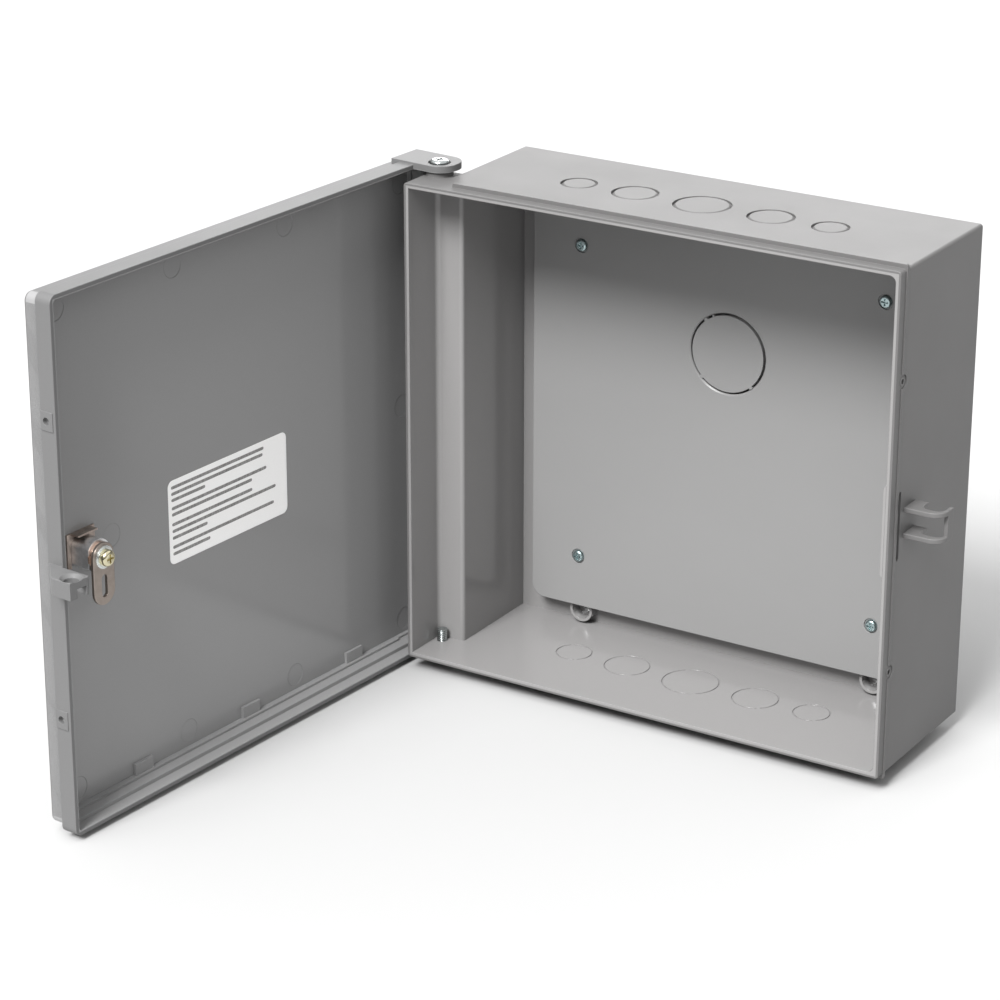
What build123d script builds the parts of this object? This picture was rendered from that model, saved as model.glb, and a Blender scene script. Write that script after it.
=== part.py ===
from build123d import *
import os
import math

# Wall-mounted moulded plastic enclosure with a side-hinged cover, all sizes in millimetres.
# Origin: centre of the wall-bolt pattern on the back face. +X right, +Z up, the front looks along -Y.

# ---------------------------------------------------------------- driving dimensions
REAR_W = 304.8          # width of the rear section (12 in)
HEIGHT = 304.8          # height of the box (12 in)
DEPTH = 105.4           # front rim to back face
STEP_W = 18.0           # how far the front section reaches left of the rear section
STEP_D = 34.0           # depth of that wider front section
WALL = 3.2              # side walls
BACK_WALL = 3.6
OPEN_ANGLE = 94.3       # cover opening angle at rest
EDGE_R = 2.0            # long outer edges of the box
RIM_EDGE_R = 0.4        # eased edges of the front rim and of the cover's lip
STEP_EDGE_R, STEP_ROOT_R = 2.5, 3.0     # upright edges of the step inside

HINGE_INSET_X = 8.5     # hinge axis behind the left face and behind the front rim
HINGE_INSET_Y = 26.0

HALF_H = HEIGHT / 2
HALF_W = REAR_W / 2
LEFT = -HALF_W - STEP_W
FRONT_Y = -DEPTH
FRONT_W = REAR_W + STEP_W
HINGE_X = LEFT + HINGE_INSET_X
HINGE_Y = FRONT_Y + HINGE_INSET_Y

# Planes. Box: local x = +X, local y = +Z, outward = -Y. Cover: local x runs from the hinge
# axis to the latch edge, local y = +Z, outward = away from the cover's inner face. Right side of
# the box: local x = distance behind the front rim, local y = +Z.
BOX_FRONT = Plane(origin=(0, FRONT_Y, 0), x_dir=(1, 0, 0), z_dir=(0, -1, 0))
BOX_BACK = Plane(origin=(0, 0, 0), x_dir=(1, 0, 0), z_dir=(0, -1, 0))
BOX_SIDE = Plane(origin=(HALF_W, FRONT_Y, 0), x_dir=(0, 1, 0), z_dir=(1, 0, 0))
SWING = math.radians(OPEN_ANGLE)
ACROSS = Vector(math.cos(SWING), -math.sin(SWING), 0)
OUTWARD = Vector(-math.sin(SWING), -math.cos(SWING), 0)
COVER = Plane(origin=(HINGE_X, HINGE_Y, 0), x_dir=ACROSS, z_dir=OUTWARD)

# Front rim, seal ridge and hinge pads of the box
RIDGE_FRONT, RIDGE_T = 6.5, 2.0
RIDGE_PROUD, RIDGE_PROUD_SIDE = 2.6, 0.7
RIDGE_START = LEFT + 30.0
PAD_R, PAD_H = 8.4, 3.1
RIM_CORNER_R = 4.0                  # the cavity's two latch-side corners

# Knockouts: trade-size hole radii and places, mirrored about X = 0
KO_Y = FRONT_Y + 54.0
KNOCKOUTS = [(0.0, 17.4), (44.5, 14.1), (-44.5, 14.1), (82.4, 11.1), (-82.4, 11.1)]
KO_OUT_DEPTH, KO_OUT_SLOPE = 1.8, 2.0
KO_IN_W, KO_IN_DEPTH = 0.7, 0.5
KO_TAB_W = 2.2

# Back plate, its posts and the wall-mount cups
PLATE_SIZE, PLATE_T, PLATE_R = 270.0, 3.0, 9.0
PLATE_FRONT = 15.4                  # plate face, forward of the back face
PLATE_REAR = PLATE_FRONT - PLATE_T
SCREW_PITCH = 203.2                 # plate screws, 8 in square
POST_R, POST_HOLE_R = 6.5, 2.1
PLATE_KO_Z, PLATE_KO_R, PLATE_KO_GAP, PLATE_KO_BEVEL = 50.8, 25.2, 1.3, 0.8
PLATE_KO_TABS = ((115.0, 1.0), (129.0, 2.4), (225.0, 2.4), (311.0, 2.4))
PLATE_HOLE_R = 2.4
SCREW_R, SCREW_L, SCREW_HEAD_R, SCREW_HEAD_H = 2.05, 9.0, 3.75, 2.3
RECESS_R, RECESS_DEPTH = 4.7, 0.8
WALL_BOLT_X, WALL_BOLT_Z = 203.2, 279.4
CUP_R, CUP_BORE_R, CUP_FRONT = 8.0, 6.2, 11.4
WALL_BOLT_R = 3.6

# Strike slot, its ledge and the padlock staple on the right wall
SLOT_MID, SLOT_W, SLOT_H = 12.0, 3.0, 42.0
LEDGE_PROUD, LEDGE_H = 1.6, 56.0
STAPLE_FRONT, STAPLE_REAR, STAPLE_OUT = 18.5, 33.5, 23.3
STAPLE_CORNER_R, STAPLE_WEB_T, STAPLE_EDGE_R = 8.4, 2.4, 0.5
STAPLE_GAP, STAPLE_ARM_T = 12.6, 3.0
NOTCH_FRONT, NOTCH_IN, NOTCH_R = 23.3, 8.0, 4.6
COVER_SCREW_Z = 87.5                # height of the side bosses and the lip's screw holes
BOSS_Y, BOSS_R, BOSS_HOLE_R, BOSS_PROUD = 7.5, 3.0, 1.6, 0.35
DETOUR_R = 6.2                      # ridge running round behind each boss

# Cover tiers. "w" is the distance outward from the hinge axis.
LIP_OUT, LIP_T = 6.0, 3.0           # lip's outer face beyond the box's faces, and its thickness
RIM_W = HINGE_INSET_Y - 14.0        # the closed lip reaches back over the seal ridge
STEP_AT_W = RIM_W + 10.5
FACE_W = RIM_W + 21.3
PANEL_T = 3.0
PANEL_W = FACE_W - PANEL_T
FACE_INSET = 2.3
TIER_OUT = LIP_OUT - FACE_INSET
LIP_SHELF_W = STEP_AT_W - 2.9       # end of the lip's own pocket
RIM_SHELF_W = HINGE_INSET_Y + 0.4   # shelf that meets the box's rim
TIER_IN, PANEL_IN = 0.7, -0.8       # inner faces beyond the box's faces, below and above that shelf
HINGE_RELIEF_U, HINGE_RELIEF_W = 9.5, 1.35  # deeper shelf by the hinge, where the rim swings past
COVER_W = FRONT_W + 2 * LIP_OUT
COVER_H = HEIGHT + 2 * LIP_OUT
COVER_MID = FRONT_W / 2 - HINGE_INSET_X
LIP_EDGE = COVER_MID + COVER_W / 2
COVER_R = 5.0

# Cover's hinge ears and hinge screws
EAR_LOW, EAR_T = 3.4, 4.0
EAR_LEFT, EAR_RIGHT = -HINGE_INSET_X - LIP_OUT, 10.0
EAR_R = 11.0                        # end of the ear and its rounded corners
EAR_ROOT_W = STEP_AT_W + 5.8
EAR_BORE_R = 3.25
EAR_CB_R, EAR_CB_DEPTH = 6.85, 1.5
HINGE_SCREW_R, HINGE_HEAD_R, HINGE_HEAD_H = 3.175, 5.7, 3.2
HINGE_GAP, HINGE_FIT = 0.1, 0.05
HINGE_TIP = 7.7                     # thread showing inside the wall
THREAD_PITCH, THREAD_DEPTH, THREAD_TURNS = 1.27, 0.55, 6

# Cover's padlock tab
TAB_OUT, TAB_H, TAB_TOP_T = 14.4, 10.4, 4.8
TAB_ROOT_SKIN, TAB_RIB_T, TAB_EDGE_R = 2.6, 2.0, 0.5
TAB_SHOULDER_W, TAB_TIP_W, TAB_ROOT_W = 7.3, -6.6, -7.8
TAB_POCKET = 12.4
TAB_NOSE_T, TAB_NOSE_L = 5.0, 3.4    # thicker outer corner of the tip
TAB_HOLE_U, TAB_HOLE_W, TAB_HOLE_R, TAB_HOLE_RELIEF = 8.2, -1.9, 4.2, 0.5
TAB_BEVEL_W, TAB_BEVEL_DEPTH = 2.2, 1.7

# Screw holes in the latch lip, each in a shallow raised pad
LIP_PAD_W, LIP_PAD_H, LIP_PAD_T = 8.7, 11.0, 0.4
LIP_HOLE_W, LIP_HOLE_R = HINGE_INSET_Y - BOSS_Y, 2.2

# Small moulded details of the cover
EJECTOR_R, EJECTOR_DEPTH, EJECTOR_Z = 7.0, 0.2, 142.0
EJECTOR_ROWS = (0.0, 107.0, 204.0, 298.0)
EJECTOR_MIDDLE = (0.0, 262.0)
REST_W, REST_H, REST_PROUD = 15.5, 7.0, 2.0
REST_AT = (52.0, 150.0, 245.0)
LABEL_W, LABEL_H, LABEL_T, LABEL_R = 104.0, 51.0, 0.15, 4.0
LABEL_U, LABEL_Z = 162.7, -8.8

# Cam lock
LOCK_U = FRONT_W - HINGE_INSET_X - 27.0
BARREL_R, BARREL_FLAT = 9.5, 16.0
LOCK_HEAD_R, LOCK_HEAD_T = 11.4, 2.6
GASKET_T = 0.8
CAM_W = HINGE_INSET_Y - SLOT_MID
CAM_SCREW_L = 7.6
CAM_T, CAM_HALF, CAM_REACH = 2.0, 8.3, 28.4
CAM_SLOT_Z, CAM_SLOT_L, CAM_SLOT_W = -17.2, 13.5, 4.6
STOP_T, STOP_R = 1.5, 8.0
BARREL_END_W = CAM_W + CAM_T / 2 + STOP_T + 0.1
HEAD_SEAT_W = FACE_W + GASKET_T
PLUG_R, PLUG_BORE_R = 6.7, 6.75
PLUG_FACE_W = HEAD_SEAT_W + LOCK_HEAD_T - 0.4
DRIVE = 7.6                         # across the plug's square drive
KEYWAY_W, KEYWAY_H = 2.2, 8.4
KEYWAY_END_W = BARREL_END_W + 4.0
WAFER_T, WAFER_W, WAFER_H, WAFER_PITCH, WAFERS = 1.2, 6.6, 12.0, 2.9, 5
WAFER_FIRST_W = BARREL_END_W + 4.8
SPRING_R, SPRING_L, SPRING_U = 0.7, 3.6, 4.9
LOCK_FIT = 0.1
KEY_T, KEY_BLADE_H, KEY_BOW_R = 1.8, 7.0, 8.5
KEY_BOW_W = PLUG_FACE_W + 9.0
WASHER_R, WASHER_T = 6.6, 0.9
CAM_SCREW_R, CAM_SCREW_HEAD_R, CAM_SCREW_HEAD_H = 2.4, 4.8, 3.4
CLIP_T, CLIP_W, CLIP_TOP, CLIP_LEG = 1.0, 22.0, 12.0, 8.5
CLIP_FLANGE, CLIP_FLANGE_W = 6.5, 15.4


# ---------------------------------------------------------------- shared shapes
def cover_plane(w):
    """Plane parallel to the cover, w outward from the hinge axis."""
    return COVER.offset(w)


def ear_plane(z):
    """Horizontal plane at the hinge axis: local x across the cover, local y inward."""
    return Plane(origin=(HINGE_X, HINGE_Y, z), x_dir=ACROSS, z_dir=(0, 0, 1))


def box_plan():
    """Plan of the box, with its wider front section on the left."""
    with BuildLine() as outline:
        Polyline(
            (LEFT, FRONT_Y), (HALF_W, FRONT_Y), (HALF_W, 0), (-HALF_W, 0),
            (-HALF_W, FRONT_Y + STEP_D), (LEFT, FRONT_Y + STEP_D), close=True,
        )
    make_face(outline.edges())


def barrel_profile(gap=0.0):
    """Round lock barrel with two upright flats."""
    Circle(BARREL_R + gap)
    Rectangle(BARREL_FLAT + 2 * gap, 4 * BARREL_R, mode=Mode.INTERSECT)


def pan_screw(seat, radius, length, head_r, head_h, drive):
    """Pan-head screw whose head rises from the seat plane and whose shank runs behind it."""
    with BuildPart() as screw:
        with BuildSketch(seat):
            Circle(head_r)
        extrude(amount=head_h)
        head_top = screw.faces().sort_by(Axis(seat.origin, seat.z_dir))[-1]
        fillet(head_top.edges(), head_h * 0.6)
        with BuildSketch(seat):
            Circle(radius)
        extrude(amount=-length)
        with BuildSketch(seat.offset(head_h)):
            Rectangle(drive, drive * 0.24)
            Rectangle(drive * 0.24, drive)
        extrude(amount=-head_h * 0.55, mode=Mode.SUBTRACT)
    return screw


# ---------------------------------------------------------------- enclosure
def staple_arm(z):
    """One flat hook of the padlock staple, from height z upwards. Its notch opens rearwards."""
    outer = HALF_W + STAPLE_OUT
    web = outer - STAPLE_WEB_T
    front, rear, notch = (FRONT_Y + y for y in (STAPLE_FRONT, STAPLE_REAR, NOTCH_FRONT))
    with BuildSketch(Plane.XY.offset(z)) as arm:
        with BuildLine():
            Polyline(
                (HALF_W - 1, front), (outer, front), (outer, rear), (web, rear), (web, notch),
                (HALF_W + NOTCH_IN, notch), (HALF_W + NOTCH_IN, rear), (HALF_W - 1, rear), close=True,
            )
        make_face()
        corner = arm.vertices().sort_by_distance((outer, front, z))[0]
        fillet(corner, STAPLE_CORNER_R)
        notch_corners = arm.vertices().filter_by(lambda v: abs(v.Y - notch) < 0.01)
        fillet(notch_corners, NOTCH_R)
    extrude(arm.sketch, amount=STAPLE_ARM_T)


def padlock_staple():
    """Two hooked arms joined by an outer web, their edges eased except at the root."""
    web_front = STAPLE_FRONT + STAPLE_CORNER_R
    flats = (STAPLE_GAP / 2, STAPLE_GAP / 2 + STAPLE_ARM_T)
    with BuildPart() as staple:
        for z in (flats[0], -flats[1]):
            staple_arm(z)
        for z in flats:
            eased = staple.edges().filter_by(
                lambda e: abs(abs(e.center().Z) - z) < 0.01 and e.center().X > HALF_W
            )
            fillet(eased, STAPLE_EDGE_R)
        with Locations((HALF_W + STAPLE_OUT, FRONT_Y + web_front, 0)):
            Box(
                STAPLE_WEB_T, STAPLE_REAR - web_front, STAPLE_GAP + 2 * STAPLE_EDGE_R,
                align=(Align.MAX, Align.MIN, Align.CENTER),
            )
    return staple


def cut_knockout(x, radius, side):
    """Bevelled break-out groove outside and a thin score inside, with two uncut tabs."""
    outside = Plane(origin=(x, KO_Y, side * HALF_H), x_dir=(1, 0, 0), z_dir=(0, -1, 0))
    with BuildSketch(outside) as groove:
        with BuildLine():
            Polyline((radius - KO_OUT_SLOPE, 0), (radius, 0), (radius, -side * KO_OUT_DEPTH), close=True)
        make_face()
    revolve(groove.sketch, axis=Axis((x, KO_Y, 0), (0, 0, 1)), mode=Mode.SUBTRACT)
    with BuildSketch(Plane.XY.offset(side * (HALF_H - WALL))) as score:
        with Locations((x, KO_Y)):
            Circle(radius + KO_IN_W / 2)
            Circle(radius - KO_IN_W / 2, mode=Mode.SUBTRACT)
            Rectangle(KO_TAB_W, 3 * radius, rotation=35, mode=Mode.SUBTRACT)
    extrude(score.sketch, amount=side * KO_IN_DEPTH, mode=Mode.SUBTRACT)


def add_screw_boss(z):
    """Small boss for a cover screw, with the seal ridge running round behind it."""
    with BuildSketch(BOX_SIDE) as gap:
        with Locations((BOSS_Y, z)):
            Circle(DETOUR_R - RIDGE_T)
    extrude(gap.sketch, amount=RIDGE_PROUD_SIDE, mode=Mode.SUBTRACT)
    with BuildSketch(BOX_SIDE) as raised:
        with Locations((BOSS_Y, z)):
            Circle(DETOUR_R)
            Rectangle(
                2 * DETOUR_R, 2 * DETOUR_R,
                align=(Align.MAX, Align.CENTER), mode=Mode.SUBTRACT,
            )
            Circle(DETOUR_R - RIDGE_T, mode=Mode.SUBTRACT)
    extrude(raised.sketch, amount=RIDGE_PROUD_SIDE)
    with BuildSketch(BOX_SIDE) as boss:
        with Locations((BOSS_Y, z)):
            Circle(BOSS_R)
    extrude(boss.sketch, amount=BOSS_PROUD)


def hollow_box(box):
    """Cavity with the step's upright edges rounded, and round corners only on the latch side."""
    step_y = FRONT_Y + STEP_D - WALL
    with BuildSketch(Plane.XY.offset(WALL - HALF_H)) as plan:
        with BuildLine():
            Polyline(
                (LEFT + WALL, FRONT_Y), (HALF_W - WALL, FRONT_Y), (HALF_W - WALL, -BACK_WALL),
                (WALL - HALF_W, -BACK_WALL), (WALL - HALF_W, step_y), (LEFT + WALL, step_y), close=True,
            )
        make_face()
        fillet(plan.vertices().sort_by_distance((LEFT + WALL, step_y, 0))[0], STEP_ROOT_R)
        fillet(plan.vertices().sort_by_distance((WALL - HALF_W, step_y, 0))[0], STEP_EDGE_R)
    extrude(plan.sketch, amount=HEIGHT - 2 * WALL, mode=Mode.SUBTRACT)
    corners = box.edges().filter_by(Axis.Y).filter_by(
        lambda e: abs(e.center().X - HALF_W + WALL) < 0.01 and abs(abs(e.center().Z) - HALF_H + WALL) < 0.01
    )
    fillet(corners, RIM_CORNER_R)


def enclosure_box():
    with BuildPart() as box:
        with BuildSketch(Plane.XY.offset(-HALF_H)):
            box_plan()
        extrude(amount=HEIGHT)
        fillet(box.edges().filter_by(Axis.Y), EDGE_R)

        # seal ridge along the top, right and bottom
        ridge_right = HALF_W + RIDGE_PROUD_SIDE
        with BuildSketch(BOX_FRONT.offset(-RIDGE_FRONT)):
            with Locations(((RIDGE_START + ridge_right) / 2, 0)):
                RectangleRounded(ridge_right - RIDGE_START, HEIGHT + 2 * RIDGE_PROUD, 1.5)
        extrude(amount=-RIDGE_T)

        # round pads that carry the cover's ears
        for side in (1, -1):
            with Locations((HINGE_X, HINGE_Y, side * (HALF_H + PAD_H / 2 - 0.5))):
                Cylinder(PAD_R, PAD_H + 1)

        for z in (COVER_SCREW_Z, -COVER_SCREW_Z):
            add_screw_boss(z)
        add(padlock_staple().part)

        hollow_box(box)
        rim = box.faces().filter_by(Axis.Y).sort_by(Axis.Y)[0]
        fillet(rim.edges(), RIM_EDGE_R)

        # strike ledge with sloping ends, and the slot that takes the cam's tip
        ledge_plane = Plane(origin=(HALF_W - WALL, FRONT_Y, 0), x_dir=(1, 0, 0), z_dir=(0, -1, 0))
        with BuildSketch(ledge_plane):
            with BuildLine():
                Polyline(
                    (0.1, LEDGE_H / 2), (0.1, -LEDGE_H / 2), (-LEDGE_PROUD, -LEDGE_H / 2 + LEDGE_PROUD),
                    (-LEDGE_PROUD, LEDGE_H / 2 - LEDGE_PROUD), close=True,
                )
            make_face()
        extrude(amount=-(SLOT_MID - SLOT_W / 2))
        with BuildSketch(BOX_SIDE):
            with Locations((SLOT_MID, 0)):
                SlotOverall(SLOT_H, SLOT_W, rotation=90)
        extrude(amount=2 * WALL, both=True, mode=Mode.SUBTRACT)

        # posts for the back plate's screws
        with BuildSketch(BOX_BACK.offset(BACK_WALL)):
            with GridLocations(SCREW_PITCH, SCREW_PITCH, 2, 2):
                Circle(POST_R)
                Circle(POST_HOLE_R, mode=Mode.SUBTRACT)
        extrude(amount=PLATE_REAR - BACK_WALL)

        # wall-bolt holes, each in a raised cup
        with BuildSketch(BOX_BACK.offset(BACK_WALL)):
            with GridLocations(WALL_BOLT_X, WALL_BOLT_Z, 2, 2):
                Circle(CUP_R)
                Circle(CUP_BORE_R, mode=Mode.SUBTRACT)
        extrude(amount=CUP_FRONT - BACK_WALL)
        with BuildSketch(BOX_BACK):
            with GridLocations(WALL_BOLT_X, WALL_BOLT_Z, 2, 2):
                Circle(WALL_BOLT_R)
        extrude(amount=2 * BACK_WALL, mode=Mode.SUBTRACT)

        for side in (1, -1):
            for x, radius in KNOCKOUTS:
                cut_knockout(x, radius, side)
            with Locations((HINGE_X, HINGE_Y, side * HALF_H)):
                Cylinder(HINGE_SCREW_R + HINGE_FIT, 4 * WALL, mode=Mode.SUBTRACT)
            with Locations((HALF_W, FRONT_Y + BOSS_Y, side * COVER_SCREW_Z)):
                Cylinder(BOSS_HOLE_R, 4 * WALL, rotation=(0, 90, 0), mode=Mode.SUBTRACT)
    return box


def back_plate():
    with BuildPart() as plate:
        with BuildSketch(BOX_BACK.offset(PLATE_REAR)):
            RectangleRounded(PLATE_SIZE, PLATE_SIZE, PLATE_R)
            with GridLocations(SCREW_PITCH, SCREW_PITCH, 2, 2):
                Circle(PLATE_HOLE_R, mode=Mode.SUBTRACT)
        extrude(amount=PLATE_T)
        with BuildSketch(BOX_BACK.offset(PLATE_FRONT)):
            with GridLocations(SCREW_PITCH, SCREW_PITCH, 2, 2):
                Circle(RECESS_R)
        extrude(amount=-RECESS_DEPTH, mode=Mode.SUBTRACT)
        # part-cut conduit knockout, held by narrow tabs
        with BuildSketch(BOX_BACK.offset(PLATE_FRONT)):
            with Locations((0, PLATE_KO_Z)):
                Circle(PLATE_KO_R)
                Circle(PLATE_KO_R - PLATE_KO_GAP, mode=Mode.SUBTRACT)
                for angle, tab in PLATE_KO_TABS:
                    with PolarLocations(PLATE_KO_R, 1, start_angle=angle):
                        Rectangle(4 * PLATE_KO_GAP, tab, mode=Mode.SUBTRACT)
        extrude(amount=-PLATE_T, mode=Mode.SUBTRACT)
        with BuildSketch(Plane(origin=(0, -PLATE_FRONT, PLATE_KO_Z))):
            with BuildLine():
                Polyline(
                    (PLATE_KO_R - 0.1, 0), (PLATE_KO_R + PLATE_KO_BEVEL, 0),
                    (PLATE_KO_R - 0.1, PLATE_KO_BEVEL), close=True,
                )
            make_face()
        revolve(axis=Axis((0, 0, PLATE_KO_Z), (0, 1, 0)), mode=Mode.SUBTRACT)
    return plate


def back_plate_screws():
    seat = BOX_BACK.offset(PLATE_FRONT - RECESS_DEPTH)
    screw = pan_screw(seat, SCREW_R, SCREW_L, SCREW_HEAD_R, SCREW_HEAD_H, 4.4)
    with BuildPart() as screws:
        with GridLocations(SCREW_PITCH, 0, 2, 1):
            for z in (SCREW_PITCH / 2, -SCREW_PITCH / 2):
                add(screw.part.moved(Location((0, 0, z))))
    return screws


def cut_thread(axis_point, first_z, radius, pitch, depth, turns):
    """V grooves one pitch apart that stand for a thread on an upright shank."""
    x, y, _ = axis_point
    for turn in range(turns):
        z = first_z + turn * pitch
        with BuildSketch(Plane(origin=(x, y, z), x_dir=(1, 0, 0), z_dir=(0, -1, 0))) as groove:
            with BuildLine():
                Polyline(
                    (radius - depth, 0), (radius + 0.1, -pitch * 0.42), (radius + 0.1, pitch * 0.42),
                    close=True,
                )
            make_face()
        revolve(groove.sketch, axis=Axis(axis_point, (0, 0, 1)), mode=Mode.SUBTRACT)


def hinge_screws():
    """Machine screws that are the hinge pins: heads on the ears, threads through the box walls."""
    seat_height = EAR_LOW + EAR_T - EAR_CB_DEPTH + HINGE_GAP
    seat = Plane(origin=(HINGE_X, HINGE_Y, HALF_H + seat_height), x_dir=(1, 0, 0), z_dir=(0, 0, 1))
    length = seat_height + WALL + HINGE_TIP
    upper = pan_screw(seat, HINGE_SCREW_R, length, HINGE_HEAD_R, HINGE_HEAD_H, 6.0)
    tip_z = HALF_H - WALL - HINGE_TIP
    with BuildPart() as screws:
        add(upper.part)
        cut_thread(
            (HINGE_X, HINGE_Y, 0), tip_z + 0.9, HINGE_SCREW_R, THREAD_PITCH, THREAD_DEPTH, THREAD_TURNS,
        )
        mirror(about=Plane.XY)
    return screws


# ---------------------------------------------------------------- cover
def cover_tier(low_w, high_w, out, corner_r, mode=Mode.ADD):
    """Slab of the cover's outline, its edges a distance "out" beyond the box's faces."""
    with BuildSketch(cover_plane(low_w)) as tier:
        with Locations((COVER_MID, 0)):
            RectangleRounded(FRONT_W + 2 * out, HEIGHT + 2 * out, corner_r)
    extrude(tier.sketch, amount=high_w - low_w, mode=mode)


def add_hinge_ear():
    """Upper ear: a root on the lip's top and a round-cornered plate over the box."""
    mid = (EAR_LEFT + EAR_RIGHT) / 2
    width = EAR_RIGHT - EAR_LEFT
    with BuildSketch(ear_plane(HALF_H + EAR_LOW)) as plate:
        with Locations((mid, EAR_R)):
            Rectangle(width, EAR_R + EAR_ROOT_W, align=(Align.CENTER, Align.MAX))
        fillet(plate.vertices().filter_by(lambda v: v.Y > 0), EAR_R)
    extrude(plate.sketch, amount=EAR_T)
    root = LIP_OUT - LIP_T + 0.2
    with BuildSketch(ear_plane(HALF_H + root)) as web:
        with Locations((mid, -RIM_W)):
            Rectangle(width, EAR_ROOT_W - RIM_W, align=(Align.CENTER, Align.MAX))
    extrude(web.sketch, amount=EAR_LOW + EAR_T - root)
    top = HALF_H + EAR_LOW + EAR_T
    with Locations((HINGE_X, HINGE_Y, top)):
        Cylinder(EAR_CB_R, 2 * EAR_CB_DEPTH, mode=Mode.SUBTRACT)
    with Locations((HINGE_X, HINGE_Y, top - EAR_T / 2)):
        Cylinder(EAR_BORE_R, 2 * EAR_T, mode=Mode.SUBTRACT)


def add_padlock_tab():
    """Tab on the latch edge that slides between the staple's arms."""
    outer = LIP_EDGE + TAB_OUT
    rooted = LIP_EDGE - LIP_T / 2
    with BuildSketch(ear_plane(-TAB_H / 2)) as tab:
        with BuildLine():
            Polyline(
                (rooted, 0.2 - STEP_AT_W), (LIP_EDGE, 0.2 - STEP_AT_W), (outer, -TAB_SHOULDER_W),
                (outer, -TAB_TIP_W), (LIP_EDGE, -TAB_ROOT_W), (LIP_EDGE, -RIM_W),
                (rooted, -RIM_W), close=True,
            )
        make_face()
        ends = tab.vertices().filter_by(lambda v: abs(v.X - outer) < 0.01).sort_by(Axis.Y)
        fillet(ends[0], 6.0)
        fillet(tab.vertices().sort_by(Axis.Y)[-1], 1.5)
    extrude(tab.sketch, amount=TAB_H)


def cut_padlock_tab():
    """Pocket under the tab, and the shackle's hole with its wide countersink."""
    with BuildSketch(ear_plane(-TAB_H / 2)) as pocket:
        with Locations((LIP_EDGE + TAB_ROOT_SKIN, -TAB_ROOT_W)):
            Rectangle(
                TAB_OUT - TAB_ROOT_SKIN - TAB_RIB_T, TAB_POCKET, align=(Align.MIN, Align.MAX),
            )
        with Locations((LIP_EDGE + TAB_OUT, -TAB_ROOT_W)):
            Rectangle(
                TAB_NOSE_T, TAB_NOSE_L + TAB_TIP_W - TAB_ROOT_W,
                align=(Align.MAX, Align.MAX), mode=Mode.SUBTRACT,
            )
    extrude(pocket.sketch, amount=TAB_H - TAB_TOP_T, mode=Mode.SUBTRACT)
    eye = COVER.from_local_coords(Vector(LIP_EDGE + TAB_HOLE_U, 0, TAB_HOLE_W))
    with Locations(eye):
        Cylinder(TAB_HOLE_R, 2 * TAB_H, mode=Mode.SUBTRACT)
    with Locations(eye + Vector(0, 0, TAB_H / 2 - TAB_TOP_T)):
        Cylinder(
            TAB_HOLE_R + TAB_HOLE_RELIEF, TAB_H,
            align=(Align.CENTER, Align.CENTER, Align.MAX), mode=Mode.SUBTRACT,
        )
    with Locations(eye + Vector(0, 0, TAB_H / 2)):
        Cone(
            TAB_HOLE_R, TAB_HOLE_R + TAB_BEVEL_W, TAB_BEVEL_DEPTH,
            align=(Align.CENTER, Align.CENTER, Align.MAX), mode=Mode.SUBTRACT,
        )


def tab_top_edges(cover):
    """Edges of the tab's top face beyond the cover's latch edge."""
    beyond = (COVER.origin + ACROSS * (LIP_EDGE + 1)).dot(ACROSS)
    top = cover.faces().filter_by(Axis.Z).filter_by(lambda f: f.center().dot(ACROSS) > beyond)
    return top.sort_by(Axis.Z)[-1].edges().filter_by(lambda e: e.center().dot(ACROSS) > beyond)


def add_panel_details():
    """Stop pads on the inner bottom edge and the ejector marks on the panel."""
    floor = -HALF_H - PANEL_IN
    with BuildSketch(cover_plane(PANEL_W)) as rests:
        for u in REST_AT:
            with Locations((u, floor)):
                Rectangle(REST_W, REST_H, align=(Align.CENTER, Align.MIN))
    extrude(rests.sketch, amount=-REST_PROUD)
    with BuildSketch(cover_plane(PANEL_W)) as marks:
        for u in EJECTOR_ROWS:
            with Locations((u, EJECTOR_Z), (u, -EJECTOR_Z)):
                Circle(EJECTOR_R)
        for u in EJECTOR_MIDDLE:
            with Locations((u, 0)):
                Circle(EJECTOR_R)
    extrude(marks.sketch, amount=EJECTOR_DEPTH, mode=Mode.SUBTRACT)


def add_lip_screw_hole(z):
    origin = COVER.from_local_coords(Vector(LIP_EDGE, z, 0))
    side = Plane(origin=origin, x_dir=OUTWARD, z_dir=ACROSS)
    with BuildSketch(side) as pad:
        with Locations((STEP_AT_W, 0)):
            Rectangle(LIP_PAD_W, LIP_PAD_H, align=(Align.MAX, Align.CENTER))
    extrude(pad.sketch, amount=LIP_PAD_T)
    with BuildSketch(side) as hole:
        with Locations((LIP_HOLE_W, 0)):
            Circle(LIP_HOLE_R)
    extrude(hole.sketch, amount=2 * LIP_T, both=True, mode=Mode.SUBTRACT)


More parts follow.
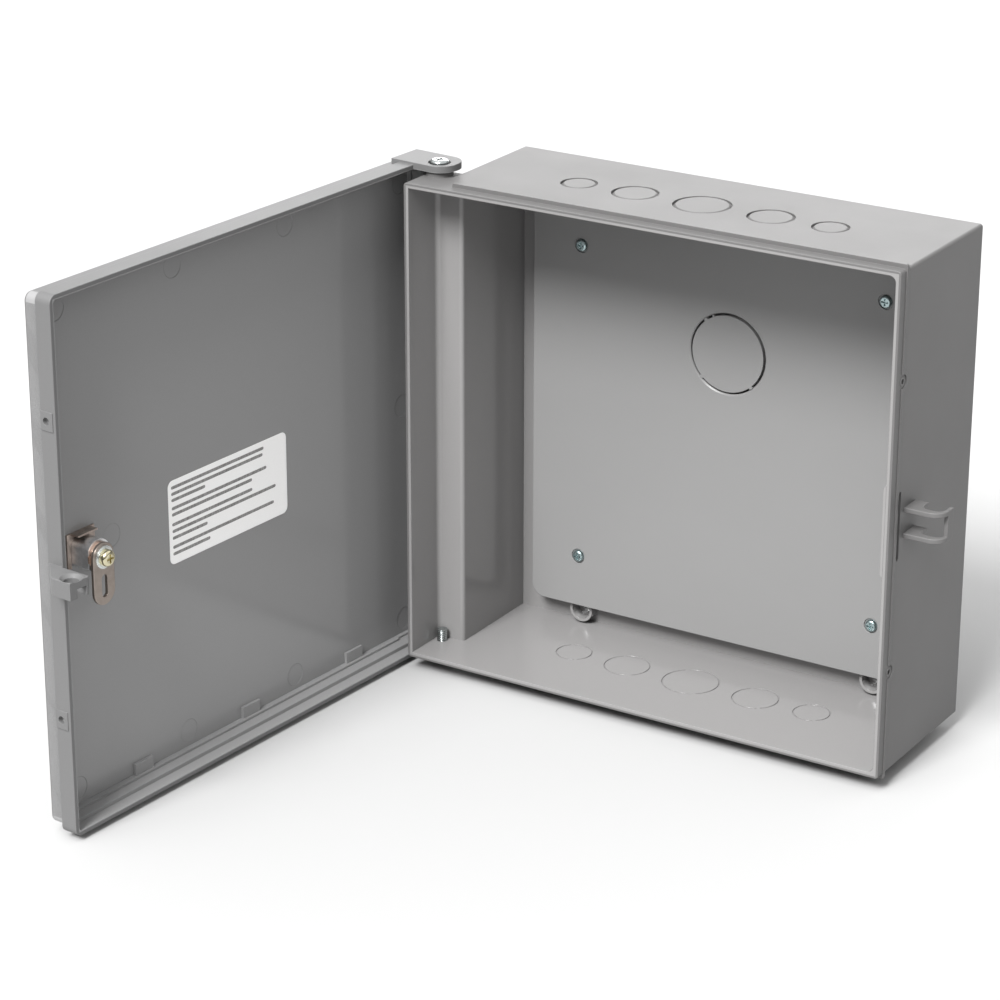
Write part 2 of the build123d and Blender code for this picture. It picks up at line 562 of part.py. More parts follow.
def door_cover():
    with BuildPart() as cover:
        cover_tier(RIM_W, STEP_AT_W, LIP_OUT, COVER_R)
        cover_tier(STEP_AT_W, FACE_W, TIER_OUT, COVER_R)
        face = cover.faces().sort_by(Axis(COVER.origin, COVER.z_dir))[-1]
        fillet(face.edges(), 1.8)
        cover_tier(RIM_W, LIP_SHELF_W, LIP_OUT - LIP_T, COVER_R - LIP_T, Mode.SUBTRACT)
        lip_face = cover.faces().sort_by(Axis(COVER.origin, COVER.z_dir))[0]
        fillet(lip_face.edges(), RIM_EDGE_R)
        add_hinge_ear()
        mirror(about=Plane.XY)
        cover_tier(RIM_W, LIP_SHELF_W, LIP_OUT - LIP_T, COVER_R - LIP_T, Mode.SUBTRACT)
        cover_tier(LIP_SHELF_W, RIM_SHELF_W, TIER_IN, EDGE_R, Mode.SUBTRACT)
        cover_tier(RIM_SHELF_W, PANEL_W, PANEL_IN, EDGE_R, Mode.SUBTRACT)
        with BuildSketch(cover_plane(RIM_SHELF_W)):
            with Locations((-HINGE_INSET_X - TIER_IN, 0)):
                Rectangle(
                    HINGE_INSET_X + TIER_IN + HINGE_RELIEF_U, HEIGHT + 2 * TIER_IN,
                    align=(Align.MIN, Align.CENTER),
                )
        extrude(amount=HINGE_RELIEF_W, mode=Mode.SUBTRACT)
        add_padlock_tab()
        fillet(tab_top_edges(cover), TAB_EDGE_R)
        cut_padlock_tab()
        add_panel_details()
        for z in (COVER_SCREW_Z, -COVER_SCREW_Z):
            add_lip_screw_hole(z)
        with BuildSketch(cover_plane(PANEL_W - 1)):
            with Locations((LOCK_U, 0)):
                barrel_profile(LOCK_FIT)
        extrude(amount=PANEL_T + 2, mode=Mode.SUBTRACT)
    return cover


def door_label():
    with BuildPart() as label:
        with BuildSketch(cover_plane(PANEL_W)):
            with Locations((LABEL_U, LABEL_Z)):
                RectangleRounded(LABEL_W, LABEL_H, LABEL_R)
        extrude(amount=-LABEL_T)
    return label


# ---------------------------------------------------------------- cam lock
def lock_housing():
    with BuildPart() as housing:
        with BuildSketch(cover_plane(BARREL_END_W)):
            with Locations((LOCK_U, 0)):
                barrel_profile()
        extrude(amount=HEAD_SEAT_W - BARREL_END_W)
        with BuildSketch(cover_plane(HEAD_SEAT_W)):
            with Locations((LOCK_U, 0)):
                Circle(LOCK_HEAD_R)
        extrude(amount=LOCK_HEAD_T)
        face = housing.faces().sort_by(Axis(COVER.origin, COVER.z_dir))[-1]
        fillet(face.edges(), 1.0)
        with BuildSketch(cover_plane(BARREL_END_W)):
            with Locations((LOCK_U, 0)):
                Circle(PLUG_BORE_R)
        extrude(amount=PLUG_FACE_W, mode=Mode.SUBTRACT)
    return housing


def lock_gasket():
    with BuildPart() as gasket:
        with BuildSketch(cover_plane(FACE_W)):
            with Locations((LOCK_U, 0)):
                Circle(LOCK_HEAD_R - 0.4)
                Circle(BARREL_R + LOCK_FIT, mode=Mode.SUBTRACT)
        extrude(amount=GASKET_T)
    return gasket


def lock_retaining_clip():
    """Spring clip that slides down over the barrel's flats, with a bent thumb flange on top."""
    with BuildPart() as clip:
        with BuildSketch(cover_plane(PANEL_W - CLIP_T)):
            with Locations((LOCK_U, CLIP_TOP)):
                Rectangle(CLIP_W, CLIP_TOP + CLIP_LEG, align=(Align.CENTER, Align.MAX))
            with Locations((LOCK_U, 0)):
                Rectangle(
                    BARREL_FLAT + 2 * LOCK_FIT, 2 * CLIP_LEG,
                    align=(Align.CENTER, Align.MAX), mode=Mode.SUBTRACT,
                )
        extrude(amount=CLIP_T)
        with BuildSketch(cover_plane(PANEL_W - CLIP_T)):
            with Locations((LOCK_U, 0)):
                barrel_profile(LOCK_FIT)
        extrude(amount=CLIP_T, mode=Mode.SUBTRACT)
        with BuildSketch(cover_plane(PANEL_W)):
            with Locations((LOCK_U, CLIP_TOP)):
                Rectangle(CLIP_FLANGE_W, CLIP_T, align=(Align.CENTER, Align.MAX))
        extrude(amount=-CLIP_FLANGE)
    return clip


def lock_plug():
    with BuildPart() as plug:
        with BuildSketch(cover_plane(BARREL_END_W)):
            with Locations((LOCK_U, 0)):
                Circle(PLUG_R)
        extrude(amount=PLUG_FACE_W - BARREL_END_W)
        with BuildSketch(cover_plane(BARREL_END_W)):
            with Locations((LOCK_U, 0)):
                Rectangle(DRIVE, DRIVE)
        extrude(amount=-(BARREL_END_W - CAM_W + CAM_T / 2 - 0.3))
        with BuildSketch(cover_plane(KEYWAY_END_W)):
            with Locations((LOCK_U, 0)):
                Rectangle(KEYWAY_W, KEYWAY_H)
        extrude(amount=PLUG_FACE_W, mode=Mode.SUBTRACT)
        for i in range(WAFERS):
            with BuildSketch(cover_plane(WAFER_FIRST_W + i * WAFER_PITCH - WAFER_T / 2 - 0.1)):
                with Locations((LOCK_U, 0)):
                    Rectangle(WAFER_W + 0.2, 3 * PLUG_R)
                with Locations((LOCK_U + SPRING_U, 0)):
                    Rectangle(2 * SPRING_R + 0.2, SPRING_L + 0.2)
            extrude(amount=WAFER_T + 0.2, mode=Mode.SUBTRACT)
        with BuildSketch(cover_plane(0)):
            with Locations((LOCK_U, 0)):
                Circle(CAM_SCREW_R + 0.05)
        extrude(amount=KEYWAY_END_W - 1.0, mode=Mode.SUBTRACT)
    return plug


def lock_wafer(index):
    """Thin plate in the plug with a window for the key."""
    start = WAFER_FIRST_W + index * WAFER_PITCH - WAFER_T / 2
    with BuildPart() as wafer:
        with BuildSketch(cover_plane(start)):
            with Locations((LOCK_U, 0)):
                Rectangle(WAFER_W, WAFER_H)
                Circle(PLUG_R - 0.15, mode=Mode.INTERSECT)
                Rectangle(KEYWAY_W + 0.2, KEYWAY_H - 0.2, mode=Mode.SUBTRACT)
        extrude(amount=WAFER_T)
    return wafer


def wafer_spring(index):
    middle = WAFER_FIRST_W + index * WAFER_PITCH
    base = COVER.from_local_coords(Vector(LOCK_U + SPRING_U, -SPRING_L / 2, middle))
    with BuildPart() as spring:
        with BuildSketch(Plane(origin=base, x_dir=ACROSS, z_dir=(0, 0, 1))):
            Circle(SPRING_R)
        extrude(amount=SPRING_L)
    return spring


def lock_key():
    """Flat key: blade in the keyway, round bow outside, upright at rest."""
    middle = COVER.from_local_coords(Vector(LOCK_U, 0, 0))
    flat = Plane(origin=middle, x_dir=OUTWARD, z_dir=ACROSS)
    blade_start = KEYWAY_END_W + 0.5
    with BuildPart() as key:
        with BuildSketch(flat.offset(-KEY_T / 2)):
            with Locations((blade_start, 0)):
                Rectangle(KEY_BOW_W - blade_start, KEY_BLADE_H, align=(Align.MIN, Align.CENTER))
            with Locations((KEY_BOW_W, 0)):
                Circle(KEY_BOW_R)
            with Locations((KEY_BOW_W + KEY_BOW_R - 4.2, 0)):
                Circle(2.0, mode=Mode.SUBTRACT)
        extrude(amount=KEY_T)
    return key


def lock_stop_washer():
    with BuildPart() as washer:
        with BuildSketch(cover_plane(CAM_W + CAM_T / 2)):
            with Locations((LOCK_U, 0)):
                Circle(STOP_R)
                Rectangle(2 * STOP_R + 1.6, 4.0)
                Rectangle(DRIVE + 0.1, DRIVE + 0.1, mode=Mode.SUBTRACT)
        extrude(amount=STOP_T)
    return washer


def lock_cam():
    """Round-ended cam plate that hangs from the plug's square, with a lightening slot."""
    tip = -(CAM_REACH - CAM_HALF)
    with BuildPart() as cam:
        with BuildSketch(cover_plane(CAM_W - CAM_T / 2)):
            with Locations((LOCK_U, 0), (LOCK_U, tip)):
                Circle(CAM_HALF)
            with Locations((LOCK_U, tip / 2)):
                Rectangle(2 * CAM_HALF, -tip)
            with Locations((LOCK_U, 0)):
                Rectangle(DRIVE + 0.1, DRIVE + 0.1, mode=Mode.SUBTRACT)
            with Locations((LOCK_U, CAM_SLOT_Z)):
                SlotOverall(CAM_SLOT_L, CAM_SLOT_W, rotation=90, mode=Mode.SUBTRACT)
        extrude(amount=CAM_T)
        fillet(cam.edges().filter_by(GeomType.CIRCLE).filter_by(lambda e: e.radius > 5), 0.35)
    return cam


def ring_washer(low_w, outer_r):
    with BuildPart() as washer:
        with BuildSketch(cover_plane(low_w)):
            with Locations((LOCK_U, 0)):
                Circle(outer_r)
                Circle(CAM_SCREW_R + 0.15, mode=Mode.SUBTRACT)
        extrude(amount=WASHER_T)
    return washer


def cam_screw():
    seat_w = CAM_W - CAM_T / 2 - 2 * WASHER_T
    seat = Plane(
        origin=COVER.from_local_coords(Vector(LOCK_U, 0, seat_w)), x_dir=ACROSS, z_dir=-OUTWARD,
    )
    return pan_screw(seat, CAM_SCREW_R, CAM_SCREW_L, CAM_SCREW_HEAD_R, CAM_SCREW_HEAD_H, 5.4)


# ---------------------------------------------------------------- assembly
pieces = {
    "enclosure_box": enclosure_box(),
    "back_plate": back_plate(),
    "back_plate_screws": back_plate_screws(),
    "hinge_screws": hinge_screws(),
    "door_cover": door_cover(),
    "door_label": door_label(),
    "lock_housing": lock_housing(),
    "lock_gasket": lock_gasket(),
    "lock_retaining_clip": lock_retaining_clip(),
    "lock_plug": lock_plug(),
    "lock_key": lock_key(),
    "lock_stop_washer": lock_stop_washer(),
    "lock_cam": lock_cam(),
    "lock_flat_washer": ring_washer(CAM_W - CAM_T / 2 - WASHER_T, WASHER_R),
    "lock_spring_washer": ring_washer(CAM_W - CAM_T / 2 - 2 * WASHER_T, WASHER_R - 0.8),
    "cam_screw": cam_screw(),
}
for number in range(WAFERS):
    pieces[f"lock_wafer_{number + 1}"] = lock_wafer(number)
    pieces[f"lock_wafer_spring_{number + 1}"] = wafer_spring(number)

os.makedirs("parts", exist_ok=True)
for name, piece in pieces.items():
    piece.part.label = name
    export_step(piece.part, f"parts/{name}.step")
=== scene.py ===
import math

import bmesh
import bpy
from mathutils import Matrix, Vector


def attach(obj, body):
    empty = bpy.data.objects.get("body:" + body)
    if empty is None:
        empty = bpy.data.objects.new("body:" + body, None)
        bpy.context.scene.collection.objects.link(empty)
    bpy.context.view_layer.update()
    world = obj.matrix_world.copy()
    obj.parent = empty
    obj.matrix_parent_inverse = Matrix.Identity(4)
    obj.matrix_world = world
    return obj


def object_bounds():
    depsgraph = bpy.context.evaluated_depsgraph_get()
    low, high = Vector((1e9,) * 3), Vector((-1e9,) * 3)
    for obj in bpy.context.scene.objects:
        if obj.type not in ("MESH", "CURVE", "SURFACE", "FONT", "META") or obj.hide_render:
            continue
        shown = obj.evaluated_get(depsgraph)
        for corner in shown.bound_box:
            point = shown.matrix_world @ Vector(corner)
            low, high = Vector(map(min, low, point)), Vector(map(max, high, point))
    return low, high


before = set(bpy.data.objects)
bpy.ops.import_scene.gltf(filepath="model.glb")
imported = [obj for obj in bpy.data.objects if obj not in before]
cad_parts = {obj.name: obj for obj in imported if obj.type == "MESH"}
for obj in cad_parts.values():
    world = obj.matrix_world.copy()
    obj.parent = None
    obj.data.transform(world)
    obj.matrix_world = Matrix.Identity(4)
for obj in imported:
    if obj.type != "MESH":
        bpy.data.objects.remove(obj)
cad_low, cad_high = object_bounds()

# Cover geometry: the hinge axis and the directions across and out of the open cover, in metres.
SWING = math.radians(94.3)
HINGE = Vector((-0.1619, -0.0794, 0.0))
ACROSS = Vector((math.cos(SWING), -math.sin(SWING), 0.0))
OUTWARD = Vector((-math.sin(SWING), -math.cos(SWING), 0.0))
LABEL_U, LABEL_Z = 0.1627, -0.0088
LABEL_W, LABEL_H = 0.104, 0.051
LABEL_FACE_W = 0.03015

# Limits of the glossy inner surfaces, which are also painted lighter (painted light): x, y and z in the
# box, u, w and z in the cover.
BOX_INNER_X = (-0.1688, 0.1510)
BOX_INNER_Y = -0.0020
BOX_INNER_Z = 0.1510
COVER_INNER_U = (-0.0122, 0.3180)
COVER_INNER_W = 0.0315
COVER_INNER_Z = 0.1561

CAMERA_YAW, CAMERA_PITCH, CAMERA_ROLL = math.radians(32.054), math.radians(21.670), math.radians(0.07)
CAMERA_PLACE = (0.8842, -1.6822, 0.7052)
CAMERA_LENS = 120.53
CAMERA_REACH = 200.0

FLOOR_HALF = 60.0
FLOOR_GAP = 0.0004
FLOOR_TONE = 0.39

PLASTIC_IOR = 1.47
BOX_GREY = (0.1122, 0.1102, 0.1094)
COVER_GREY = (0.1235, 0.1233, 0.1236)
PLATE_GREY = (0.203, 0.202, 0.201)
# Painted light: the inner faces of the box and cover are painted this many times lighter than their outer
# faces.
BOX_INSIDE_PAINTED_LIGHT = 1.93
COVER_INSIDE_PAINTED_LIGHT = 2.03

# Strength of the sky at the horizon and overhead, then the suns: name, power, spread in degrees, aim.
SKY_LOW, SKY_HIGH = 0.0, 1.1
KEYS = (
    ("key_low", 5.8, 22.0, (0.0, 0.70, -0.72)),
    ("key_high", 1.3, 30.0, (0.05, 0.38, -0.92)),
    ("back", 1.4, 40.0, (0.35, -0.92, -0.16)),
)


def on_cover(u, w, z):
    """Point in the object's frame from cover coordinates: u from the hinge, w outward, z up."""
    return HINGE + ACROSS * u + OUTWARD * w + Vector((0.0, 0.0, z))


# ---------------------------------------------------------------- camera
def make_camera():
    yaw, pitch, roll = CAMERA_YAW, CAMERA_PITCH, CAMERA_ROLL
    look = Vector((-math.sin(yaw) * math.cos(pitch), math.cos(yaw) * math.cos(pitch), -math.sin(pitch)))
    right = Vector((math.cos(yaw), math.sin(yaw), 0.0))
    up = right.cross(look)
    right, up = (
        math.cos(roll) * right + math.sin(roll) * up,
        math.cos(roll) * up - math.sin(roll) * right,
    )
    data = bpy.data.cameras.new("camera")
    data.sensor_width = 36.0
    data.lens = CAMERA_LENS
    data.clip_end = CAMERA_REACH
    cam = bpy.data.objects.new("camera", data)
    turn = Matrix((right, up, -look)).transposed().to_4x4()
    cam.matrix_world = Matrix.Translation(CAMERA_PLACE) @ turn
    bpy.context.scene.collection.objects.link(cam)
    bpy.context.scene.camera = cam


# ---------------------------------------------------------------- light and floor
def make_sky():
    """White overhead, falling to black at the horizon, as in a studio with a lit ceiling."""
    world = bpy.data.worlds.new("studio")
    world.use_nodes = True
    tree = world.node_tree
    coords = tree.nodes.new("ShaderNodeTexCoord").outputs["Generated"]
    split = tree.nodes.new("ShaderNodeSeparateXYZ")
    tree.links.new(coords, split.inputs[0])
    ramp = tree.nodes.new("ShaderNodeMapRange")
    ramp.interpolation_type = "SMOOTHSTEP"
    tree.links.new(split.outputs["Z"], ramp.inputs["Value"])
    limits = (("From Min", 0.0), ("From Max", 0.65), ("To Min", SKY_LOW), ("To Max", SKY_HIGH))
    for name, value in limits:
        ramp.inputs[name].default_value = value
    tree.links.new(ramp.outputs["Result"], tree.nodes["Background"].inputs["Strength"])
    tree.nodes["Background"].inputs["Color"].default_value = (1.0, 1.0, 1.0, 1.0)
    bpy.context.scene.world = world


def make_studio():
    """Sky, suns and the pale floor."""
    make_sky()
    bpy.context.scene.view_settings.view_transform = "Standard"
    for name, power, spread, aim in KEYS:
        data = bpy.data.lights.new(name, "SUN")
        data.energy = power
        data.angle = math.radians(spread)
        key = bpy.data.objects.new(name, data)
        key.rotation_euler = Vector(aim).to_track_quat("-Z", "Y").to_euler()
        bpy.context.scene.collection.objects.link(key)

    floor_z = cad_low.z - FLOOR_GAP
    corners = [(FLOOR_HALF * x, FLOOR_HALF * y, floor_z) for x, y in ((-1, -1), (1, -1), (1, 1), (-1, 1))]
    mesh = bpy.data.meshes.new("floor")
    mesh.from_pydata(corners, [], [(0, 1, 2, 3)])
    floor = bpy.data.objects.new("floor", mesh)
    bpy.context.scene.collection.objects.link(floor)
    mat = bpy.data.materials.new("floor_pale")
    mat.use_nodes = True
    shader = mat.node_tree.nodes["Principled BSDF"]
    shader.inputs["Base Color"].default_value = (FLOOR_TONE, FLOOR_TONE, FLOOR_TONE, 1.0)
    shader.inputs["Roughness"].default_value = 0.85
    mesh.materials.append(mat)


# ---------------------------------------------------------------- materials
def scaled(colour, gain):
    """The colour, lighter or darker, with no channel over 1."""
    return [min(1.0, c * gain) for c in colour]


class Graph:
    """Small helper that adds shader nodes to one material."""

    def __init__(self, name):
        self.mat = bpy.data.materials.new(name)
        self.mat.use_nodes = True
        self.tree = self.mat.node_tree
        self.shader = self.tree.nodes["Principled BSDF"]
        self.place = self.tree.nodes.new("ShaderNodeTexCoord").outputs["Object"]

    def put(self, socket, value):
        if isinstance(value, bpy.types.NodeSocket):
            self.tree.links.new(value, socket)
        else:
            socket.default_value = value

    def math(self, operation, a, b=0.0, clamp=False):
        node = self.tree.nodes.new("ShaderNodeMath")
        node.operation = operation
        node.use_clamp = clamp
        self.put(node.inputs[0], a)
        self.put(node.inputs[1], b)
        return node.outputs[0]

    def noise(self, scale, detail=2.0, roughness=0.5, stretch=None):
        coords = self.place
        if stretch:
            mapping = self.tree.nodes.new("ShaderNodeMapping")
            mapping.inputs["Scale"].default_value = stretch
            self.tree.links.new(coords, mapping.inputs["Vector"])
            coords = mapping.outputs["Vector"]
        node = self.tree.nodes.new("ShaderNodeTexNoise")
        self.tree.links.new(coords, node.inputs["Vector"])
        node.inputs["Scale"].default_value = scale
        node.inputs["Detail"].default_value = detail
        node.inputs["Roughness"].default_value = roughness
        return node.outputs["Fac"]

    def span(self, value, low, high, to_low, to_high):
        node = self.tree.nodes.new("ShaderNodeMapRange")
        self.put(node.inputs["Value"], value)
        node.inputs["From Min"].default_value = low
        node.inputs["From Max"].default_value = high
        node.inputs["To Min"].default_value = to_low
        node.inputs["To Max"].default_value = to_high
        return node.outputs["Result"]

    def mix(self, factor, a, b):
        node = self.tree.nodes.new("ShaderNodeMix")
        node.data_type = "RGBA"
        self.put(node.inputs["Factor"], factor)
        for socket, colour in ((node.inputs[6], a), (node.inputs[7], b)):
            self.put(socket, colour if isinstance(colour, bpy.types.NodeSocket) else (*colour, 1.0))
        return node.outputs[2]

    def axis(self, direction):
        """Distance along a direction, from the object coordinates."""
        node = self.tree.nodes.new("ShaderNodeVectorMath")
        node.operation = "DOT_PRODUCT"
        self.tree.links.new(self.place, node.inputs[0])
        node.inputs[1].default_value = direction
        return node.outputs["Value"]

    def rounded(self, radius):
        """Normal that rounds off sharp edges over a small radius."""
        node = self.tree.nodes.new("ShaderNodeBevel")
        node.samples = 4
        node.inputs["Radius"].default_value = radius
        return node.outputs["Normal"]

    def edges(self, radius=0.0009):
        """1 along sharp edges, 0 elsewhere."""
        geometry = self.tree.nodes.new("ShaderNodeNewGeometry")
        node = self.tree.nodes.new("ShaderNodeVectorMath")
        node.operation = "DOT_PRODUCT"
        self.tree.links.new(self.rounded(radius), node.inputs[0])
        self.tree.links.new(geometry.outputs["Normal"], node.inputs[1])
        return self.span(node.outputs["Value"], 0.995, 0.90, 0.0, 1.0)

    def bump(self, layers, radius=0.0005):
        """Chain of bump nodes from (height, strength, distance) layers, over rounded edges."""
        normal = self.rounded(radius)
        for height, strength, distance in layers:
            node = self.tree.nodes.new("ShaderNodeBump")
            node.inputs["Strength"].default_value = strength
            node.inputs["Distance"].default_value = distance
            self.put(node.inputs["Height"], height)
            self.put(node.inputs["Normal"], normal)
            normal = node.outputs["Normal"]
        self.put(self.shader.inputs["Normal"], normal)

    def finish(self, colour, roughness, metallic=0.0, ior=None):
        self.put(self.shader.inputs["Base Color"], colour)
        self.put(self.shader.inputs["Roughness"], roughness)
        self.shader.inputs["Metallic"].default_value = metallic
        if ior:
            self.shader.inputs["IOR"].default_value = ior
        return self.mat


def moulded_plastic(name, tone, inside, inside_painted_light_gain):
    """Grey moulded plastic: fine spark texture outside; where inside is 1 it has almost no grain, is
    glossier and is painted lighter (painted light).
    """
    g = Graph(name)
    glossy_and_painted_lighter = inside(g)
    flow = g.span(g.noise(7.0, 3.0, 0.55, stretch=(1.0, 1.0, 0.5)), 0.32, 0.68, 0.0, 1.0)
    shade = g.mix(flow, scaled(tone, 0.985), scaled(tone, 1.015))
    # Painted light: the inside is painted lighter than the outside by the gain.
    shade = g.mix(glossy_and_painted_lighter, shade, scaled(tone, inside_painted_light_gain))
    speck = g.span(g.noise(1700.0, 1.0), 0.35, 0.72, 0.0, 1.0)
    specks = g.math("MULTIPLY", speck, g.span(glossy_and_painted_lighter, 0.0, 1.0, 0.16, 0.05))
    shade = g.mix(specks, shade, scaled(tone, 0.72))
    # Edges painted lighter: partly wear, partly a painted highlight along convex and concave edges.
    edge_wear_and_highlight = g.math("MULTIPLY", g.edges(), g.span(g.noise(210.0, 3.0), 0.40, 0.66, 0.08, 0.42))
    shade = g.mix(edge_wear_and_highlight, shade, scaled(tone, 1.38))
    haze = g.span(g.noise(21.0, 3.0, 0.55), 0.3, 0.7, -0.018, 0.022)
    rough = g.math("ADD", g.span(glossy_and_painted_lighter, 0.0, 1.0, 0.50, 0.15), haze, clamp=True)
    grain = g.math("MULTIPLY", g.noise(1150.0, 2.0), g.span(glossy_and_painted_lighter, 0.0, 1.0, 1.0, 0.05))
    g.bump([(grain, 0.30, 0.00010), (g.noise(26.0, 1.0), 0.05, 0.0005)])
    return g.finish(shade, rough, ior=PLASTIC_IOR)


def inside_box(g):
    """1 within the box's cavity, 0 on its outer faces."""
    x, y, z = (g.axis(direction) for direction in ((1, 0, 0), (0, 1, 0), (0, 0, 1)))
    low_side = g.math("GREATER_THAN", x, BOX_INNER_X[0])
    high_side = g.math("LESS_THAN", x, BOX_INNER_X[1])
    tall = g.math("LESS_THAN", g.math("ABSOLUTE", z), BOX_INNER_Z)
    front = g.math("LESS_THAN", y, BOX_INNER_Y)
    both = g.math("MULTIPLY", low_side, high_side)
    return g.math("MULTIPLY", g.math("MULTIPLY", both, tall), front)


def inside_cover(g):
    """1 within the cover's pan, 0 on its outer faces."""
    w = g.math("SUBTRACT", g.axis(OUTWARD), HINGE.dot(OUTWARD))
    u = g.math("SUBTRACT", g.axis(ACROSS), HINGE.dot(ACROSS))
    z = g.axis((0, 0, 1))
    deep = g.math("LESS_THAN", w, COVER_INNER_W)
    tall = g.math("LESS_THAN", g.math("ABSOLUTE", z), COVER_INNER_Z)
    near = g.math("GREATER_THAN", u, COVER_INNER_U[0])
    far = g.math("LESS_THAN", u, COVER_INNER_U[1])
    return g.math("MULTIPLY", g.math("MULTIPLY", deep, tall), g.math("MULTIPLY", near, far))


def plate_plastic(name, tone):
    """Flat semi-gloss plate with faint flow marks and a painted highlight along its edges."""
    g = Graph(name)
    flow = g.span(g.noise(6.0, 3.0, 0.55, stretch=(1.0, 1.0, 2.0)), 0.3, 0.7, 0.0, 1.0)
    shade = g.mix(flow, scaled(tone, 0.985), scaled(tone, 1.015))
    shade = g.mix(g.span(g.noise(1700.0, 1.0), 0.35, 0.7, 0.0, 0.10), shade, scaled(tone, 0.78))
    # Painted highlight: the plate's edges are painted lighter.
    shade = g.mix(g.math("MULTIPLY", g.edges(), 0.3), shade, scaled(tone, 1.3))
    rough = g.span(g.noise(40.0, 3.0, 0.6), 0.3, 0.7, 0.30, 0.36)
    g.bump([(g.noise(1400.0, 2.0), 0.10, 0.00008), (g.noise(24.0, 1.0), 0.06, 0.0005)])
    return g.finish(shade, rough, ior=PLASTIC_IOR)


def plated_metal(
    name, tone, rough_low, rough_high, stretch=(1.0, 1.0, 14.0), tarnish=0.82, corner=0.00025,
):
    """Plated steel: brushed lay, faint stains and rubbed edges."""
    g = Graph(name)
    stain = g.noise(240.0, 4.0, 0.6)
    shade = g.mix(g.span(stain, 0.35, 0.7, 0.0, 1.0), tone, scaled(tone, tarnish))
    rubbed = g.math("MULTIPLY", g.edges(0.0004), g.span(g.noise(900.0, 3.0), 0.4, 0.7, 0.1, 0.8))
    shade = g.mix(rubbed, shade, scaled(tone, 1.25))
    brushed = g.noise(620.0, 3.0, 0.6, stretch=stretch)
    rough = g.span(brushed, 0.3, 0.7, rough_low, rough_high)
    g.bump([(brushed, 0.25, 0.00003), (g.noise(1900.0, 2.0), 0.10, 0.00003)], radius=corner)
    return g.finish(shade, rough, metallic=1.0)


def rubber(name):
    """Black rubber with a thin film of dust."""
    g = Graph(name)
    dust = g.span(g.noise(420.0, 4.0, 0.65), 0.45, 0.75, 0.0, 0.5)
    shade = g.mix(dust, (0.022, 0.022, 0.023), (0.075, 0.073, 0.070))
    rough = g.span(g.noise(900.0, 2.0), 0.3, 0.7, 0.68, 0.85)
    g.bump([(g.noise(1600.0, 2.0), 0.3, 0.00005)])
    return g.finish(shade, rough)


def film_label(name):
    """White printed film with a faint tooth and slightly toned patches."""
    g = Graph(name)
    tooth = g.noise(2200.0, 2.0)
    shade = g.mix(g.span(tooth, 0.3, 0.7, 0.0, 1.0), (0.88, 0.875, 0.87), (0.93, 0.925, 0.92))
    shade = g.mix(g.span(g.noise(22.0, 3.0), 0.4, 0.8, 0.0, 0.35), shade, (0.85, 0.84, 0.83))
    rough = g.span(g.noise(90.0, 3.0), 0.3, 0.7, 0.42, 0.55)
    g.bump([(tooth, 0.12, 0.00003)])
    return g.finish(shade, rough)


def grey_ink(name):
    """Printed grey ink that varies from dark to pale along a rule."""
    g = Graph(name)
    patch = g.noise(1300.0, 3.0, 0.6, stretch=(1.0, 1.0, 0.35))
    shade = g.mix(g.span(patch, 0.38, 0.62, 0.0, 1.0), (0.15, 0.147, 0.143), (0.31, 0.306, 0.302))
    rough = g.span(patch, 0.3, 0.7, 0.45, 0.6)
    g.bump([(patch, 0.1, 0.00002)])
    return g.finish(shade, rough)


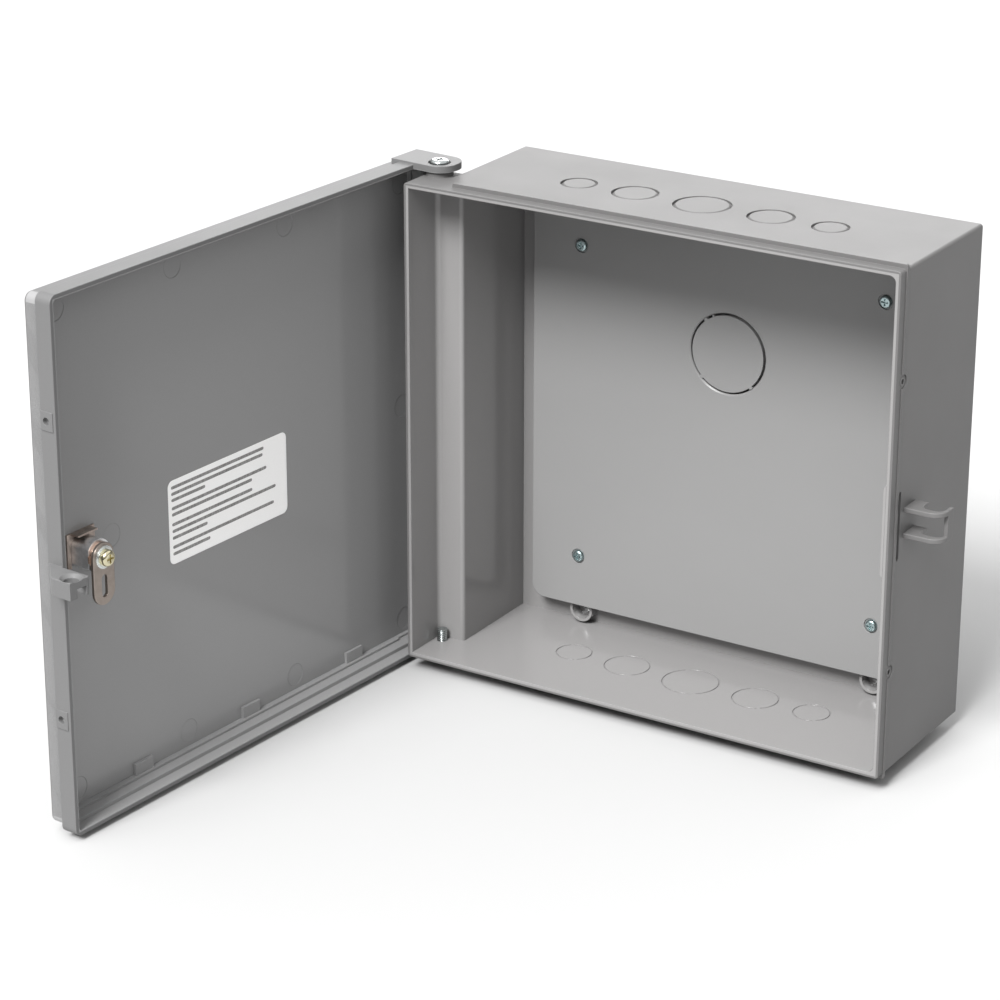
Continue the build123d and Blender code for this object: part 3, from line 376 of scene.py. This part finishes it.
def paint_nodes():
    """Gives every CAD node its finish; the lock's inner pieces share one."""
    inner_metal = plated_metal("wafer_brass", (0.62, 0.50, 0.27), 0.22, 0.38)
    zinc = plated_metal("zinc_plate", (0.50, 0.53, 0.53), 0.14, 0.30, corner=0.00005)
    finishes = {
        "enclosure_box": moulded_plastic("box_grey", BOX_GREY, inside_box, BOX_INSIDE_PAINTED_LIGHT),
        "door_cover": moulded_plastic("cover_grey", COVER_GREY, inside_cover, COVER_INSIDE_PAINTED_LIGHT),
        "back_plate": plate_plastic("plate_grey", PLATE_GREY),
        "back_plate_screws": plated_metal("screw_zinc", (0.42, 0.52, 0.53), 0.20, 0.38),
        "hinge_screws": zinc,
        "door_label": film_label("label_film"),
        "lock_housing": plated_metal(
            "barrel_chrome", (0.88, 0.88, 0.89), 0.26, 0.46, (9.0, 1.0, 1.0), 0.72,
        ),
        "lock_gasket": rubber("gasket_rubber"),
        "lock_retaining_clip": plated_metal("clip_nickel", (0.50, 0.42, 0.37), 0.26, 0.44, tarnish=0.62),
        "lock_plug": plated_metal("plug_nickel", (0.56, 0.53, 0.49), 0.18, 0.34),
        "lock_key": plated_metal("key_nickel", (0.46, 0.42, 0.38), 0.20, 0.36, (1.0, 12.0, 1.0)),
        "lock_stop_washer": plated_metal("stop_copper", (0.74, 0.53, 0.42), 0.20, 0.36),
        "lock_cam": plated_metal("cam_nickel", (0.36, 0.31, 0.275), 0.30, 0.46, (1.0, 1.0, 5.0), 0.86),
        "lock_flat_washer": plated_metal("washer_bright", (0.80, 0.83, 0.82), 0.18, 0.34),
        "lock_spring_washer": plated_metal("washer_zinc", (0.78, 0.80, 0.76), 0.16, 0.32),
        "cam_screw": plated_metal("screw_yellow", (0.78, 0.72, 0.50), 0.10, 0.24, tarnish=0.78),
    }
    for name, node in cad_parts.items():
        material = finishes.get(name, inner_metal)
        for index in range(len(node.data.materials)):
            node.data.materials[index] = material
        if not node.data.materials:
            node.data.materials.append(material)


# ---------------------------------------------------------------- label rules
def add_label_rules():
    """Plain grey rules on the label, raised by a hair so that they print as geometry."""
    # Drop of each rule below the label's top edge, and its length.
    rows = (
        (0.0044, 0.081), (0.0082, 0.080), (0.0120, 0.029), (0.0170, 0.083), (0.0208, 0.070),
        (0.0268, 0.070), (0.0309, 0.091), (0.0350, 0.030), (0.0406, 0.089), (0.0447, 0.032),
    )
    radius, margin, lift, ends = 0.00095, 0.0026, 0.00003, 5
    mesh = bmesh.new()
    for drop, length in rows:
        z = LABEL_Z + LABEL_H / 2 - drop
        start = LABEL_U + LABEL_W / 2 - margin
        outline = []
        caps = ((start - radius, -math.pi / 2), (start - length + radius, math.pi / 2))
        for centre, turn in caps:
            for step in range(ends + 1):
                angle = turn + math.pi * step / ends
                outline.append((centre + math.cos(angle) * radius, z + math.sin(angle) * radius))
        low = [mesh.verts.new(on_cover(u, LABEL_FACE_W, v)) for u, v in outline]
        high = [mesh.verts.new(on_cover(u, LABEL_FACE_W - lift, v)) for u, v in outline]
        mesh.faces.new(high)
        mesh.faces.new(list(reversed(low)))
        for i in range(len(low)):
            j = (i + 1) % len(low)
            mesh.faces.new((low[i], low[j], high[j], high[i]))
    bmesh.ops.recalc_face_normals(mesh, faces=mesh.faces)
    data = bpy.data.meshes.new("label_rules")
    mesh.to_mesh(data)
    mesh.free()
    data.materials.append(grey_ink("rule_ink"))
    rules = bpy.data.objects.new("label_rules", data)
    bpy.context.scene.collection.objects.link(rules)
    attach(rules, "cover")


make_camera()
make_studio()
paint_nodes()
add_label_rules()
